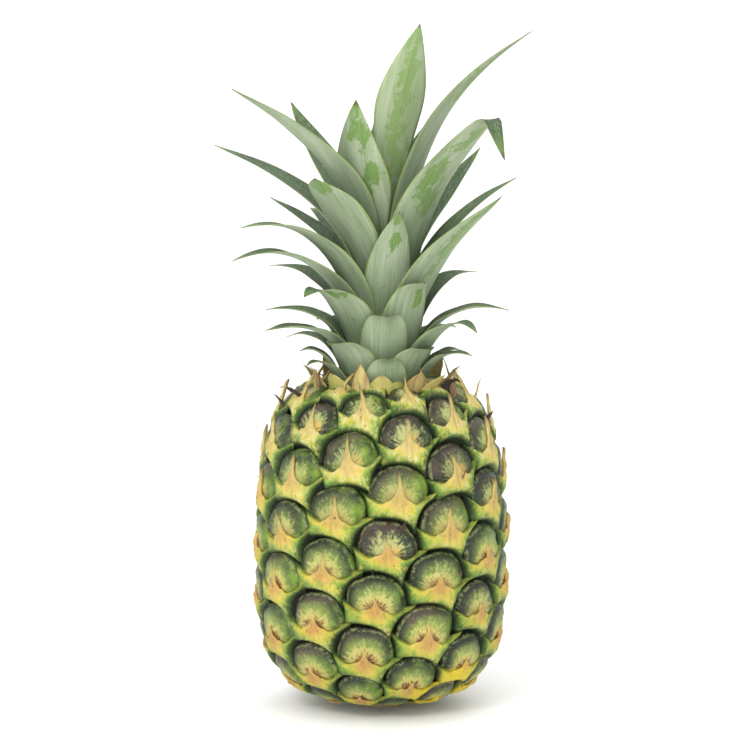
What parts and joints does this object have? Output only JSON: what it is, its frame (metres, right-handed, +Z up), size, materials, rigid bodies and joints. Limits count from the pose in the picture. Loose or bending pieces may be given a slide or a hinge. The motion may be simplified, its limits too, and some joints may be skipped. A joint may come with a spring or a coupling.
{
  "type": "pineapple",
  "caption": "Whole fresh pineapple: a barrel of spiralling domed eyes with dry pointed bracts, a cut stalk at its foot, and a crown of arched, pointed, channelled leaves.",
  "frame": {"origin": "middle of the cut stalk, on the flat spot that the fruit stands on", "axes": "+Z up the fruit to the crown, -Y towards the side that the picture shows, +X to its right"},
  "size_m": [0.156, 0.1247, 0.3361],
  "materials": {
    "skin": "green and yellow rind with dark glossy domes",
    "stalk": "dry cut fibres",
    "crown_stem": "matt pale stem",
    "leaf": "waxy grey-green leaf with a powdery bloom"
  },
  "bodies": {
    "root": {"fruit": "skin", "stalk": "stalk", "crown_stem": "crown_stem", "leaf_01": "leaf", "leaf_02": "leaf", "leaf_03": "leaf", "leaf_04": "leaf", "leaf_05": "leaf", "leaf_06": "leaf", "leaf_07": "leaf", "leaf_08": "leaf", "leaf_09": "leaf", "leaf_10": "leaf", "leaf_11": "leaf", "leaf_12": "leaf", "leaf_13": "leaf", "leaf_14": "leaf", "leaf_15": "leaf", "leaf_16": "leaf", "leaf_17": "leaf", "leaf_18": "leaf", "leaf_19": "leaf", "leaf_20": "leaf", "leaf_21": "leaf", "leaf_22": "leaf", "leaf_23": "leaf", "leaf_24": "leaf", "leaf_25": "leaf", "leaf_26": "leaf", "leaf_27": "leaf", "leaf_28": "leaf", "leaf_29": "leaf", "leaf_30": "leaf", "leaf_31": "leaf", "leaf_32": "leaf", "leaf_33": "leaf", "leaf_34": "leaf", "leaf_35": "leaf", "leaf_36": "leaf", "leaf_37": "leaf", "leaf_38": "leaf", "leaf_39": "leaf", "leaf_40": "leaf", "leaf_41": "leaf", "leaf_42": "leaf", "leaf_43": "leaf", "leaf_44": "leaf", "leaf_45": "leaf"}
  },
  "joints": []
}
